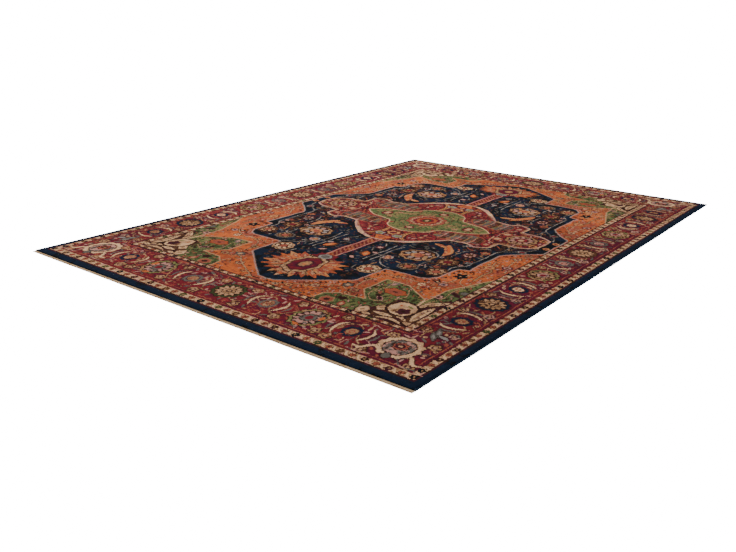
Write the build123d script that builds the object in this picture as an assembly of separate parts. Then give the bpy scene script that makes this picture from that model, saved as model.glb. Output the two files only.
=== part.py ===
"""Hand-knotted wool area rug with a medallion field, lying flat.

Millimetres. +X runs along the length from the near end to the far end, +Y across
to the left side, +Z up. The origin is the middle of the underside.
Woven foundation below, knotted pile above it in one solid for each colour area,
overcast selvedges on both long sides, flat-woven kilim ends with twining and hem.
"""
import os

from build123d import *

# Overall sizes
rug_width = 2440.0
pile_length = 3466.0
foundation_thickness = 3.0
pile_height = 6.0

# Borders, from the edge of the pile inwards
end_band = 45.0
end_outer_guard = 53.0
near_main_border = 282.0
far_main_border = 212.0
end_inner_guard = 35.0
side_band = 45.0
side_outer_guard = 45.0
side_main_border = 210.0
side_inner_guard = 45.0

# The weaver's drift: the design's middle is not quite the rug's middle
centre_drift_along = 107.0
centre_drift_across = -20.0
squeeze_start = 900.0

# Medallion and what lies in it, measured from the design's middle
medallion_end_gap = 55.0
medallion_side_gap = 6.0
pendant_half_width = 205.0
pendant_length = 390.0
pendant_end_gap = 50.0
pole_width = 70.0
heart_half_length = 510.0
heart_half_width = 760.0
star_half_length = 255.0
star_half_width = 410.0

# Corner pieces of the field
corner_along = 765.0
corner_across = 525.0

# Selvedges, kilim ends and hems
selvedge_width = 12.0
selvedge_height = 7.0
selvedge_core = 4.0
kilim_width = 12.0
kilim_thickness = 2.5
twining_width = 2.5
twining_height = 3.2
hem_width = 6.5
hem_height = 4.0
tuft_length = 10.0
tuft_width = 8.0
small_rounding = 14.0

# Worked out from the sizes above
foundation_width = rug_width - 2 * selvedge_width
end_frames = end_band + end_outer_guard + end_inner_guard
near_frame = end_frames + near_main_border
far_frame = end_frames + far_main_border
side_frame = side_band + side_outer_guard + side_main_border + side_inner_guard
field_near = -pile_length / 2 + near_frame
field_far = pile_length / 2 - far_frame
field_half_width = rug_width / 2 - side_frame
middle_x = centre_drift_along
middle_y = centre_drift_across
near_reach = middle_x - field_near
far_reach = field_far - middle_x
left_reach = field_half_width - middle_y
right_reach = field_half_width + middle_y


def place(across, along):
    """Rug position of a design point, across and along from the design's middle."""
    stretch = left_reach / right_reach if across > 0 else 1.0
    y = middle_y + across * stretch
    if along >= 0:
        return (middle_x - along, y)
    start = min(squeeze_start, far_reach / 2, near_reach / 2)
    depth = -along
    if depth > start:
        depth = start + (depth - start) * (far_reach - start) / (near_reach - start)
    return (middle_x + depth, y)


def four_way(points):
    """Closed outline from the points of the near right quarter, mirrored both ways."""
    near = [(-a, b) for a, b in points]
    quarter_turn = [(a, b) for a, b in reversed(points)]
    outline = near + [(-a, -b) for a, b in reversed(points)]
    outline += [(a, -b) for a, b in points] + quarter_turn
    kept = []
    for point in [place(a, b) for a, b in outline]:
        if not kept or max(abs(point[0] - kept[-1][0]), abs(point[1] - kept[-1][1])) > 0.01:
            kept.append(point)
    if max(abs(kept[0][0] - kept[-1][0]), abs(kept[0][1] - kept[-1][1])) < 0.01:
        kept.pop()
    return make_face(Polyline(*kept, close=True))


def slab(face, bottom, height):
    """Straight-sided layer of the rug on the given outline."""
    return Pos(0, 0, bottom) * extrude(face, amount=height)


def pile_rectangle(near_inset, far_inset, side_inset):
    """Rectangle that lies the given distances inside the edges of the rug."""
    x0 = -pile_length / 2 + near_inset
    x1 = pile_length / 2 - far_inset
    half = rug_width / 2 - side_inset
    return Pos((x0 + x1) / 2, 0) * Rectangle(x1 - x0, 2 * half)


def rounded(face, radius=small_rounding):
    """Outline with its corners softened, as knots round them off."""
    shortest = min(edge.length for edge in face.edges())
    return fillet(face.vertices(), min(radius, shortest / 5))


def medallion_outline():
    """Stepped, lobed medallion: pointed ends, shoulders, and straight-sided wings."""
    reach = near_reach - medallion_end_gap
    half = right_reach - medallion_side_gap
    steps = [(0.0, 1.01), (0.07, 0.995), (0.405, 0.815), (0.42, 0.66), (0.66, 0.655),
             (0.745, 0.60), (0.75, 0.48), (0.815, 0.46), (0.81, 0.25), (0.90, 0.16),
             (1.0, 0.11)]
    return rounded(four_way([(a * half, b * reach) for a, b in steps]))


def heart_outline():
    """Red inner medallion with a domed lobe at each end and a wing at each side."""
    lobes = [(0.0, 1.0), (0.10, 0.99), (0.24, 0.86), (0.375, 0.66), (0.42, 0.48),
             (0.62, 0.44), (0.74, 0.32), (0.96, 0.26), (1.0, 0.16)]
    return rounded(four_way([(a * heart_half_width, b * heart_half_length) for a, b in lobes]))


def star_outline():
    """Green star in the middle, long across the rug."""
    points = [(0.0, 1.0), (0.20, 0.78), (0.35, 0.74), (0.42, 0.46), (0.72, 0.34), (1.0, 0.0)]
    return rounded(four_way([(a * star_half_width, b * star_half_length) for a, b in points]))


def both_ends(points, side):
    """Outline symmetric about the design's long axis, at the near (1) or far (-1) end."""
    right = [place(-a, side * b) for a, b in points]
    left = [place(a, side * b) for a, b in reversed(points) if a > 0]
    return make_face(Polyline(*(right + left), close=True))


def pendant_outline(side):
    """Flame palmette inside the medallion's pointed end."""
    tip = near_reach - medallion_end_gap - pendant_end_gap
    root = tip - pendant_length
    shape = [(0.0, 1.0), (0.35, 0.90), (0.75, 0.72), (1.0, 0.45), (0.80, 0.18), (0.35, 0.0)]
    points = [(a * pendant_half_width, root + b * pendant_length) for a, b in shape]
    return rounded(both_ends(points, side))


def pole_outline(side):
    """Red pole from the inner medallion to the pendant."""
    tip = near_reach - medallion_end_gap - pendant_end_gap - pendant_length
    half = pole_width / 2
    return both_ends([(half, tip + pendant_length / 2), (half, 0.0)], side)


def corner_outline(end, side):
    """Lobed corner piece, from the field's corner inwards; end and side are 1 or -1."""
    shape = [(1.0, 0.0), (0.98, 0.11), (0.87, 0.18), (0.62, 0.19), (0.77, 0.31), (0.77, 0.54),
             (0.50, 0.54), (0.20, 0.40), (0.18, 0.63), (0.09, 0.83), (0.0, 1.0)]
    points = []
    for across, along in [(0.0, 0.0)] + shape:
        depth = along * corner_along
        if end > 0:
            x = field_near + depth
        else:
            x = field_far - depth * (far_reach / near_reach)
        points.append((x, side * (field_half_width - across * corner_across)))
    return make_face(Polyline(*points, close=True))


def foundation():
    """Cotton warps and wool wefts under the pile, as one woven sheet."""
    sheet = Rectangle(pile_length, foundation_width)
    return slab(sheet, 0, foundation_thickness)


def pile_layer(face):
    """Knotted pile over the given area."""
    return slab(face, foundation_thickness, pile_height)


def frame_strips(outer, inner):
    """The four strips between two insets: both ends at full width, sides between them."""
    def strip(x0, x1, y0, y1):
        return Pos((x0 + x1) / 2, (y0 + y1) / 2) * Rectangle(x1 - x0, y1 - y0)
    ends = [-pile_length / 2 + outer[0], -pile_length / 2 + inner[0],
            pile_length / 2 - inner[1], pile_length / 2 - outer[1]]
    half = rug_width / 2 - outer[2]
    inner_half = rug_width / 2 - inner[2]
    return {"near": strip(ends[0], ends[1], -half, half),
            "far": strip(ends[2], ends[3], -half, half),
            "left": strip(ends[1], ends[2], inner_half, half),
            "right": strip(ends[1], ends[2], -half, -inner_half)}


def border_areas():
    """Strips of the plain edge band, the two guards and the main border."""
    bands = [("pile_edge_band", end_band, end_band, side_band - selvedge_width),
             ("pile_outer_guard", end_outer_guard, end_outer_guard, side_outer_guard),
             ("pile_main_border", near_main_border, far_main_border, side_main_border),
             ("pile_inner_guard", end_inner_guard, end_inner_guard, side_inner_guard)]
    outer = (0.0, 0.0, selvedge_width)
    areas = {}
    for name, near, far, side in bands:
        inner = (outer[0] + near, outer[1] + far, outer[2] + side)
        for place_name, strip in frame_strips(outer, inner).items():
            areas[f"{name}_{place_name}"] = strip
        outer = inner
    return areas


def field_areas():
    """Areas inside the borders, each cut from the one around it so that none overlap."""
    field = pile_rectangle(near_frame, far_frame, side_frame)
    medallion = medallion_outline() & field
    heart = heart_outline() & medallion
    star = star_outline() & heart
    open_field = field - medallion
    areas = {}
    for end, end_name in ((1, "near"), (-1, "far")):
        for side, side_name in ((1, "left"), (-1, "right")):
            corner = corner_outline(end, side) & open_field
            areas[f"pile_corner_{end_name}_{side_name}"] = corner
            open_field = open_field - corner
    areas["pile_open_field"] = open_field
    medallion = medallion - heart
    for side, end_name in ((1, "near"), (-1, "far")):
        pendant = pendant_outline(side) & medallion
        pole = (pole_outline(side) & medallion) - pendant
        areas[f"pile_pendant_{end_name}"] = pendant
        areas[f"pile_pole_{end_name}"] = pole
        medallion = medallion - pendant - pole
    areas["pile_medallion_ground"] = medallion
    areas["pile_inner_medallion"] = heart - star
    areas["pile_centre_star"] = star
    return areas


def selvedge(side):
    """Core of bundled warps and its overcast wool wrapping, along one long side."""
    y = side * (rug_width / 2 - selvedge_width / 2)
    section = Plane.YZ * RectangleRounded(selvedge_width, selvedge_height, selvedge_height * 0.45)
    core = Plane.YZ * Circle(selvedge_core / 2)
    start = Pos(-pile_length / 2, y, selvedge_height / 2)
    cord = start * extrude(core, amount=pile_length)
    wrap = start * extrude(section - core, amount=pile_length)
    return cord, wrap


def kilim_end(end):
    """Flat-woven end, its twining cord and its rolled hem; end is -1 near or 1 far."""
    x = pile_length / 2
    kilim_x = x + kilim_width / 2
    twining_x = x + kilim_width + twining_width / 2
    hem_x = x + kilim_width + twining_width + hem_width / 2
    span = foundation_width
    kilim = Pos(end * kilim_x, 0, kilim_thickness / 2) * Box(kilim_width, span, kilim_thickness)
    twining = Pos(end * twining_x, 0, twining_height / 2) * Box(twining_width, span, twining_height)
    profile = Plane.XZ * RectangleRounded(hem_width, hem_height, hem_height * 0.45)
    hem = Pos(end * hem_x, span / 2, hem_height / 2) * extrude(profile, amount=span)
    return kilim, twining, hem


def warp_tufts(end):
    """Loose cotton warp ends beside the kilim at both corners of one end."""
    tufts = []
    for side in (1, -1):
        x = end * (pile_length / 2 + tuft_length / 2)
        y = side * (foundation_width / 2 + tuft_width / 2)
        tuft = Box(tuft_length, tuft_width, foundation_thickness)
        tufts.append(Pos(x, y, foundation_thickness / 2) * tuft)
    return Compound(children=tufts)


def build():
    """All pieces of the rug by node name."""
    nodes = {"foundation_weave": foundation()}
    for name, face in (border_areas() | field_areas()).items():
        nodes[name] = pile_layer(face)
    for side, name in ((1, "left"), (-1, "right")):
        cord, wrap = selvedge(side)
        nodes[f"selvedge_core_{name}"] = cord
        nodes[f"selvedge_wrap_{name}"] = wrap
    for end, name in ((-1, "near"), (1, "far")):
        kilim, twining, hem = kilim_end(end)
        nodes[f"kilim_end_{name}"] = kilim
        nodes[f"twining_cord_{name}"] = twining
        nodes[f"hem_roll_{name}"] = hem
        nodes[f"warp_tufts_{name}"] = warp_tufts(end)
    return nodes


os.makedirs("parts", exist_ok=True)
for node, shape in build().items():
    export_step(shape, f"parts/{node}.step")
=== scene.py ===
"""Hand-knotted wool area rug, lying flat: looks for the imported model.

Metres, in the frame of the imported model: +X runs along the length, +Y across to the
left side, +Z up, and the origin is the middle of the underside.
"""
import math

import bpy
import numpy as np
from mathutils import Matrix, Vector


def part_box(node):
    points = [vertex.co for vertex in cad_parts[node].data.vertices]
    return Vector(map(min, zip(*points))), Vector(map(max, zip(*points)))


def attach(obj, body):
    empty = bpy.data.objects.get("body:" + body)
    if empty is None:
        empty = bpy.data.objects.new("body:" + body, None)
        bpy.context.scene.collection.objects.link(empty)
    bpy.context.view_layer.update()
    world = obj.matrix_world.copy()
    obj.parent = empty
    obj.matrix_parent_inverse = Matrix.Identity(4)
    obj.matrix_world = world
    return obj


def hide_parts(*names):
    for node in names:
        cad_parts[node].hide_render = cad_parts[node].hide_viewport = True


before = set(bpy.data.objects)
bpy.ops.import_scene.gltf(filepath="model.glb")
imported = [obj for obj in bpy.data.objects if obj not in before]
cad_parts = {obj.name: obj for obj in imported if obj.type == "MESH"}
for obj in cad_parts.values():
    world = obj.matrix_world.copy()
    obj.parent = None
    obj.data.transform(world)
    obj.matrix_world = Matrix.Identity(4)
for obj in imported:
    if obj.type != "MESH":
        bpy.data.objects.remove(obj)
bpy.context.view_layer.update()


# ---------------------------------------------------------------- Camera, floor and light
# The rug is looked at from a little above the floor, from beyond its near right corner.
# The floor is plain and pale, and the light is a bright room with one large soft lamp.
camera_place = Vector((-3.637, -2.4876, 1.2178))
camera_turn = math.radians(37.95)  # from +X towards +Y
camera_dip = math.radians(19.39)
camera_tilt = math.radians(0.878)

camera_data = bpy.data.cameras.new("camera")
camera_data.lens = 36.869
camera_data.sensor_width = 36
camera_data.clip_end = 60
camera = bpy.data.objects.new("camera", camera_data)
bpy.context.scene.collection.objects.link(camera)
camera.matrix_world = (
    Matrix.Translation(camera_place)
    @ Matrix.Rotation(camera_turn - math.pi / 2, 4, "Z")
    @ Matrix.Rotation(math.pi / 2 - camera_dip, 4, "X")
    @ Matrix.Rotation(camera_tilt, 4, "Z")
)
bpy.context.scene.camera = camera


def linear(code):
    """A colour written as #rrggbb, as the four linear numbers that a shader takes."""
    parts = [int(code[k : k + 2], 16) / 255 for k in (1, 3, 5)]
    return [p / 12.92 if p <= 0.04045 else ((p + 0.055) / 1.055) ** 2.4 for p in parts] + [1.0]


def add_node(material, kind, settings=(), inputs=()):
    """Adds a shader node, sets its properties, and sets or links its inputs."""
    made = material.node_tree.nodes.new("ShaderNode" + kind)
    for name, value in dict(settings).items():
        setattr(made, name, value)
    for name, value in dict(inputs).items():
        if isinstance(value, bpy.types.NodeSocket):
            material.node_tree.links.new(value, made.inputs[name])
        else:
            made.inputs[name].default_value = value
    return made


def wire(output, node, name):
    """Links a shader output to a named input of a node in the same tree."""
    node.id_data.links.new(output, node.inputs[name])


def new_material(name, rough, **inputs):
    """A material with one principled shader, and that shader."""
    material = bpy.data.materials.new(name)
    material.use_nodes = True
    shader = material.node_tree.nodes["Principled BSDF"]
    shader.inputs["Roughness"].default_value = rough
    for words, value in inputs.items():
        shader.inputs[words.replace("_", " ")].default_value = value
    return material, shader


def start(add, **settings):
    """Adds a primitive with nothing else selected, and gives its object."""
    if bpy.context.object and bpy.context.object.mode == "EDIT":
        bpy.ops.object.mode_set(mode="OBJECT")
    bpy.ops.object.select_all(action="DESELECT")
    add(**settings)
    return bpy.context.object


def settle(piece):
    """Puts a piece's place, turn and size into its mesh."""
    bpy.ops.object.transform_apply(location=True, rotation=True, scale=True)
    return piece


def edit(kind="EDGE", pick="SELECT"):
    """Opens a piece's mesh for editing, with all or none of its parts picked."""
    bpy.ops.object.mode_set(mode="EDIT")
    bpy.ops.mesh.select_mode(type=kind)
    bpy.ops.mesh.select_all(action=pick)


def close_edit(outward=True):
    """Turns every face outwards if asked, and closes the mesh."""
    if outward:
        bpy.ops.mesh.select_all(action="SELECT")
        bpy.ops.mesh.normals_make_consistent(inside=False)
    bpy.ops.object.mode_set(mode="OBJECT")


cove_reach = 60
cove_rise = 5
floor = start(bpy.ops.mesh.primitive_plane_add, size=cove_reach)
floor.name = "studio_floor"
settle(floor)
edit()
bpy.ops.mesh.region_to_loop()
bpy.ops.mesh.extrude_edges_move(TRANSFORM_OT_translate={"value": (0, 0, cove_rise)})
close_edit(False)
# Painted white studio floor: matt, and bright enough to leave almost no shadow.
paper, paper_shader = new_material("white_studio_floor", 0.9)
paper_shader.inputs["Base Color"].default_value = linear("#f4f4f4")
paper_shader.inputs["Emission Color"].default_value = linear("#ffffff")
# Straight at the eye the paper is burnt out white, but it throws little light on the rug.
seen_straight = add_node(paper, "LightPath").outputs["Is Camera Ray"]
glow = add_node(paper, "MapRange", {}, {"Value": seen_straight, "To Min": 1.0, "To Max": 16.0})
wire(glow.outputs["Result"], paper_shader, "Emission Strength")
floor.data.materials.append(paper)

room = bpy.data.worlds.new("studio_room")
room.use_nodes = True
backdrop = room.node_tree.nodes["Background"]
backdrop.inputs["Color"].default_value = linear("#ffffff")
seen_straight = add_node(room, "LightPath").outputs["Is Camera Ray"]
glow = add_node(room, "MapRange", {}, {"Value": seen_straight, "To Min": 0.55, "To Max": 16.0})
wire(glow.outputs["Result"], backdrop, "Strength")
bpy.context.scene.world = room

lamp_data = bpy.data.lights.new("soft_lamp", "AREA")
lamp_data.shape = "RECTANGLE"
lamp_data.size = 5.0
lamp_data.size_y = 4.0
lamp_data.energy = 270.0
lamp = bpy.data.objects.new("soft_lamp", lamp_data)
bpy.context.scene.collection.objects.link(lamp)
lamp.location = (1.1, 2.5, 3.4)
lamp.rotation_euler = (-lamp.location).to_track_quat("-Z", "Y").to_euler()


# ---------------------------------------------------------------- Knotting chart
# A weaver ties one knot of dyed wool at each crossing, row after row, from a chart of a
# quarter of the design. The middle of the design drifts from the middle of the rug, the far
# end is beaten down tighter, and hand tying bends every line a little.
mm = 0.001
rows = 866
columns = 690
pile_low, pile_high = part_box("foundation_weave")
pile_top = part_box("pile_open_field")[1].z
pile_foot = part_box("pile_open_field")[0].z
line_x = np.linspace(pile_low.x, pile_high.x, rows + 1)
line_y = np.linspace(pile_low.y, pile_high.y, columns + 1)
row_x = (line_x[1:] + line_x[:-1]) / 2
column_y = (line_y[1:] + line_y[:-1]) / 2

# Where each band starts, in millimetres from the middle of the chart: along, then across
pile_end, guard_end, border_end, inner_end, field_end = 1840, 1795, 1742, 1460, 1425
pile_side, guard_side, border_side, inner_side, field_side = 1208, 1155, 1110, 900, 855


middle_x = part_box("pile_inner_guard_near")[1].x + field_end * mm
middle_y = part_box("pile_inner_guard_right")[1].y + field_side * mm
from_middle_x = (row_x - middle_x) / mm
from_middle_y = (column_y - middle_y) / mm
far_marks = [0, 900] + [
    (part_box(node)[1].x - middle_x) / mm
    for node in ("pile_open_field", "pile_inner_guard_far", "pile_main_border_far",
                 "pile_outer_guard_far", "pile_edge_band_far")
]
left_marks = [0] + [
    (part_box(node)[1].y - middle_y) / mm
    for node in ("pile_open_field", "pile_inner_guard_left", "pile_main_border_left",
                 "pile_outer_guard_left", "pile_edge_band_left")
]
row_v = np.where(
    from_middle_x < 0,
    -from_middle_x,
    np.interp(from_middle_x, far_marks,
              [0, 900, field_end, inner_end, border_end, guard_end, pile_end]),
)
column_u = np.where(
    from_middle_y < 0,
    -from_middle_y,
    np.interp(from_middle_y, left_marks,
              [0, field_side, inner_side, border_side, guard_side, pile_side]),
)
grid_x, grid_y = np.meshgrid(from_middle_x, from_middle_y, indexing="ij")
U = column_u[None, :] + 2.2 * np.sin(grid_x / 83 + 1) * np.cos(grid_y / 131)
U = U + 1.6 * np.sin(grid_x / 37 + grid_y / 211)
V = row_v[:, None] + 2.2 * np.sin(grid_y / 71 + 2) * np.cos(grid_x / 157)
V = V + 1.6 * np.cos(grid_y / 41 - grid_x / 190)

# The dyer's wools. Indigo, madder, weld, walnut and their mixtures on handspun wool.
wools = {
    "navy": "#0c192b",
    "ink": "#0a0d12",
    "umber": "#2c1510",
    "walnut": "#50301f",
    "plum": "#3c1620",
    "burgundy": "#521225",
    "madder": "#651a22",
    "scarlet": "#7e2529",
    "brick": "#8a4535",
    "pink": "#a8766a",
    "rust": "#96482b",
    "orange": "#b2582d",
    "apricot": "#b0754a",
    "camel": "#8f6848",
    "sand": "#ab8160",
    "ivory": "#c69c76",
    "sage": "#6a683d",
    "green": "#525c36",
    "moss": "#343a1f",
    "slate": "#585049",
    "sky": "#857b74",
}
wool_names = list(wools)
dye = np.zeros((rows, columns), dtype=np.int16)
area = np.zeros((rows, columns), dtype=np.int16)
in_hand = np.ones((rows, columns), dtype=bool)


def window(low_u, high_u, low_v, high_v, slack=8):
    """The block of knots, in all four quarters, that holds a rectangle of the chart."""
    found_rows = np.flatnonzero((row_v > low_v - slack) & (row_v < high_v + slack))
    found_columns = np.flatnonzero((column_u > low_u - slack) & (column_u < high_u + slack))
    return np.ix_(found_rows, found_columns)


def tie(block, inside, wool):
    """Ties the knots of a block that are inside a shape and in the area in hand."""
    knots = dye[block]
    knots[inside & in_hand[block]] = wool_names.index(wool)
    dye[block] = knots


def is_inside(points, block):
    """Which knots of a block lie inside a closed outline."""
    across, along = U[block], V[block]
    inside = np.zeros(across.shape, dtype=bool)
    for (u0, v0), (u1, v1) in zip(points, points[1:] + points[:1]):
        if v0 == v1:
            continue
        crosses = (along < v0) != (along < v1)
        inside ^= crosses & (across < u0 + (along - v0) * (u1 - u0) / (v1 - v0))
    return inside


def window_of(points, margin=0):
    """The block that holds a list of points."""
    us, vs = [p[0] for p in points], [p[1] for p in points]
    return window(min(us) - margin, max(us) + margin, min(vs) - margin, max(vs) + margin)


def to_middle(points):
    """An outline of a quarter, closed past both middle lines."""
    beyond = -30
    return [(beyond, points[0][1])] + points + [(points[-1][0], beyond), (beyond, beyond)]


def patch(points, wool):
    """A closed patch of one wool."""
    block = window_of(points)
    tie(block, is_inside(points, block), wool)


def smooth(points, steps=6):
    """More points along a soft curve through the given ones."""
    path = [np.array(p, float) for p in points]
    path = [2 * path[0] - path[1]] + path + [2 * path[-1] - path[-2]]
    curve = []
    for a, b, c, d in zip(path, path[1:], path[2:], path[3:]):
        for t in np.arange(steps) / steps:
            curve.append(
                b + 0.5 * t * (c - a)
                + t * t * (a - 2.5 * b + 2 * c - 0.5 * d)
                + t**3 * (1.5 * (b - c) + 0.5 * (d - a))
            )
    return [tuple(p) for p in curve + [path[-2]]]


def line(points, width, wool, curved=True):
    """A line of knots through the points, such as a vine or an outline."""
    path = smooth(points) if curved and len(points) > 2 else points
    for (u0, v0), (u1, v1) in zip(path, path[1:]):
        block = window_of([(u0, v0), (u1, v1)], width)
        run = math.hypot(u1 - u0, v1 - v0) or 1
        across, along = U[block] - u0, V[block] - v0
        t = np.clip((across * (u1 - u0) + along * (v1 - v0)) / run**2, 0, 1)
        away = np.hypot(across - t * (u1 - u0), along - t * (v1 - v0))
        tie(block, away < width / 2, wool)


def pairs_of(rings):
    """Reads rings of wool, outermost first, each wool followed by its share of the size."""
    words = rings.split()
    return [(float(share), wool) for wool, share in zip(words[::2], words[1::2])]


def flower(u, v, size, rings, petals=8, scallop=0.12, turn=0.0):
    """A round or oval flower: rings of wool from the outside in, with scalloped edges."""
    wide, tall = size if isinstance(size, tuple) else (size, size)
    block = window(u - wide * 1.3, u + wide * 1.3, v - tall * 1.3, v + tall * 1.3)
    across, along = (U[block] - u) / wide, (V[block] - v) / tall
    reach = np.hypot(across, along)
    edge = 1 + scallop * np.cos(petals * (np.arctan2(along, across) - math.radians(turn)))
    for share, wool in pairs_of(rings):
        tie(block, reach < share * edge, wool)


def leaf(u, v, length, width, turn, rings):
    """A pointed leaf, turned in degrees from across to along."""
    block = window(u - length / 2, u + length / 2, v - length / 2, v + length / 2)
    cos, sin = math.cos(math.radians(turn)), math.sin(math.radians(turn))
    across, along = U[block] - u, V[block] - v
    on, off = across * cos + along * sin, along * cos - across * sin
    for share, wool in pairs_of(rings):
        half = share * width / 2 * (1 - (2 * on / (length * share)) ** 2)
        tie(block, np.abs(off) < half, wool)


def sickle(points, width, rings):
    """A curved leaf that swells in its middle and is pointed at both ends."""
    path = smooth(points)
    block = window_of(points, width)
    reach = np.full(U[block].shape, 9.0)
    for k, (pu, pv) in enumerate(path):
        swell = width / 2 * math.sin(math.pi * (k + 0.7) / (len(path) + 0.4)) ** 0.6
        reach = np.minimum(reach, np.hypot(U[block] - pu, V[block] - pv) / swell)
    for share, wool in pairs_of(rings):
        tie(block, reach < share, wool)


def scatter(ground, tries, seed, clear, draw):
    """Small fillings wherever a round of plain ground is left, as a weaver fills a gap."""
    chance = np.random.default_rng(seed)
    quarter = in_hand & (grid_x < 0) & (grid_y < 0) & (dye == wool_names.index(ground))
    places = np.argwhere(quarter)
    for pick in chance.integers(0, len(places), tries):
        u, v = U[tuple(places[pick])], V[tuple(places[pick])]
        block = window(u - clear, u + clear, v - clear, v + clear, 0)
        near = np.hypot(U[block] - u, V[block] - v) < clear
        near &= ((grid_x < 0) & (grid_y < 0))[block]
        plain = (dye[block] == wool_names.index(ground)) & in_hand[block]
        if (plain | ~near).all():
            draw(chance, u, v)


def filling(choice, lengths, width, turns, leaf_rings, leaf_share=None, bud=0, bud_rings=""):
    """A filling for scatter: a leaf, or now and then a bud, in one of the chosen wools."""
    def draw(chance, u, v):
        wool = choice[chance.integers(len(choice))]
        if leaf_share is None or chance.random() < leaf_share:
            long = chance.uniform(*lengths)
            leaf(u, v, long, width, chance.uniform(*turns), leaf_rings.format(wool))
        else:
            flower(u, v, bud, bud_rings.format(wool), 5, 0.2)
    return draw


def cloudy(size, seed):
    """Soft random patches over the whole chart, from 0 to 1, about size millimetres across."""
    shape = (int(3466 / size) + 3, int(2416 / size) + 3)
    coarse = np.random.default_rng(seed).random(shape)
    at_row = np.linspace(0, shape[0] - 1.001, rows)
    at_column = np.linspace(0, shape[1] - 1.001, columns)
    low_row, low_column = at_row.astype(int), at_column.astype(int)
    blend = (at_row - low_row)[:, None]
    tall = coarse[low_row] * (1 - blend) + coarse[low_row + 1] * blend
    blend = at_column - low_column
    return tall[:, low_column] * (1 - blend) + tall[:, low_column + 1] * blend


def mottle(ground, wool, size, share, seed):
    """Changes patches of one wool to another, as when a weaver takes up a new lot; kept to one
    part of an area, it also paints a lighter sheen.
    """
    patches = cloudy(size, seed) + np.random.default_rng(seed).normal(0, 0.08, dye.shape)
    found = in_hand & (dye == wool_names.index(ground))
    if found.any():
        dye[found & (patches > np.quantile(patches[found], 1 - share))] = wool_names.index(wool)


def edge_out(grounds, dark, share, seed):
    """Ties a thin dark outline round the motifs that stand on these ground wools."""
    chance = np.random.default_rng(seed)
    ground = np.isin(dye, [wool_names.index(wool) for wool in grounds])
    beside = np.zeros(dye.shape, dtype=bool)
    for step, way in ((1, 0), (-1, 0), (1, 1), (-1, 1)):
        beside |= np.roll(in_hand & ~ground, step, axis=way)
    outline = in_hand & ground & beside & (chance.random(dye.shape) < share)
    dye[outline] = wool_names.index(dark)


def waver(share, seed):
    """Moves the edges of motifs by a knot here and there, as hand tying does."""
    chance = np.random.default_rng(seed)
    for step, way in ((1, 0), (-1, 0), (1, 1), (-1, 1)):
        beside = np.roll(dye, step, axis=way)
        swap = in_hand & np.roll(in_hand, step, axis=way) & (chance.random(dye.shape) < share / 4)
        dye[swap] = beside[swap]


def rosette(u, v, size, petals, outer, petal, core, turn=0.0):
    """A large flower: a ring, separate petals with dark wool between them, and a cored middle."""
    wide, tall = size if isinstance(size, tuple) else (size, size)
    flower(u, v, (wide, tall), f"umber 1 {outer} 0.94 umber 0.8", petals, 0.05, turn)
    for k in range(petals):
        way = math.radians(turn + k * 360 / petals)
        length = 0.42 * math.hypot(wide * math.cos(way), tall * math.sin(way))
        leaf(u + 0.55 * wide * math.cos(way), v + 0.55 * tall * math.sin(way), length * 1.15,
             0.62 * length * 14 / (petals + 4), math.degrees(way), f"{petal} 1")
    flower(u, v, (0.42 * wide, 0.42 * tall), f"umber 1 {core}", 6, 0.1)


# The outlines that part the field's colour areas, as a quarter of the chart
medallion_edge = [
    (0, 1378), (55, 1370), (200, 1250), (345, 1125), (352, 1100), (356, 930), (360, 898),
    (560, 893), (600, 870), (632, 820), (636, 690), (640, 668), (700, 650), (690, 615),
    (690, 340), (712, 300), (770, 235), (840, 175), (853, 150), (853, 0),
]
heart_edge = [
    (0, 510), (70, 508), (160, 470), (230, 400), (295, 320), (330, 270), (430, 255),
    (500, 290), (560, 260), (575, 240), (578, 150), (700, 140), (740, 120), (780, 90), (790, 0),
]
star_edge = [
    (0, 280), (60, 262), (120, 236), (150, 205), (165, 160), (185, 128), (250, 110), (330, 90),
    (385, 52), (415, 25), (434, 0),
]
corner_edge = [
    (330, 1440), (330, 1415), (340, 1340), (400, 1290), (530, 1280), (450, 1190), (450, 1010),
    (590, 1010), (750, 1120), (760, 940), (810, 790), (870, 650), (870, 1440),
]
flames = [
    (90, 222), (71, 206), (52, 202), (34, 224), (17, 236), (1, 222), (-15, 220), (-31, 224),
    (-49, 206),
]
pole_half = 38

everywhere = window(-30, pile_side, -30, pile_end)
levels = [
    (pile_end, pile_side), (guard_end, guard_side), (border_end, border_side),
    (inner_end, inner_side), (field_end, field_side),
]
band_names = ["edge_band", "outer_guard", "main_border", "inner_guard"]
area_names = ["open_field", "corner", "medallion_ground", "inner_medallion", "centre_star",
              "pendant", "pole"] + [f"{b}_{s}" for b in band_names for s in ("end", "side")]
far_row = row_v[:, None] + 0 * U
far_column = column_u[None, :] + 0 * V


def claim(name, knots):
    """Gives knots of the chart to a colour area."""
    area[knots] = area_names.index(name)


for outer, inner, band in zip(levels, levels[1:], band_names):
    left_over = (far_row > inner[0]) | (far_column > inner[1])
    held = (far_row <= outer[0] + 5) & (far_column <= outer[1] + 5) & left_over
    claim(band + "_end", held & (far_row > inner[0]))
    claim(band + "_side", held & (far_row <= inner[0]))
field = (far_row <= field_end) & (far_column <= field_side)
claim("open_field", field)
claim("corner", field & is_inside(corner_edge, everywhere))
in_medallion = field & is_inside(to_middle(medallion_edge), everywhere)
claim("medallion_ground", in_medallion)
claim("inner_medallion", in_medallion & is_inside(to_middle(heart_edge), everywhere))
claim("centre_star", in_medallion & is_inside(to_middle(star_edge), everywhere))
pendant_middle = 1100
out_u, out_v = U, V - pendant_middle
in_pendant = np.hypot(out_u / 150, out_v / 172) < 1
for turn, reach in flames:
    cos, sin = math.cos(math.radians(turn)), math.sin(math.radians(turn))
    on, off = out_u * cos + out_v * sin - reach / 2, out_v * cos - out_u * sin
    in_pendant |= np.abs(off) < 24 * (1 - (2 * on / reach) ** 2)
in_pendant |= (U < 60) & (V > 900) & (V < 1000)
claim("pendant", in_medallion & in_pendant)
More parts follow.
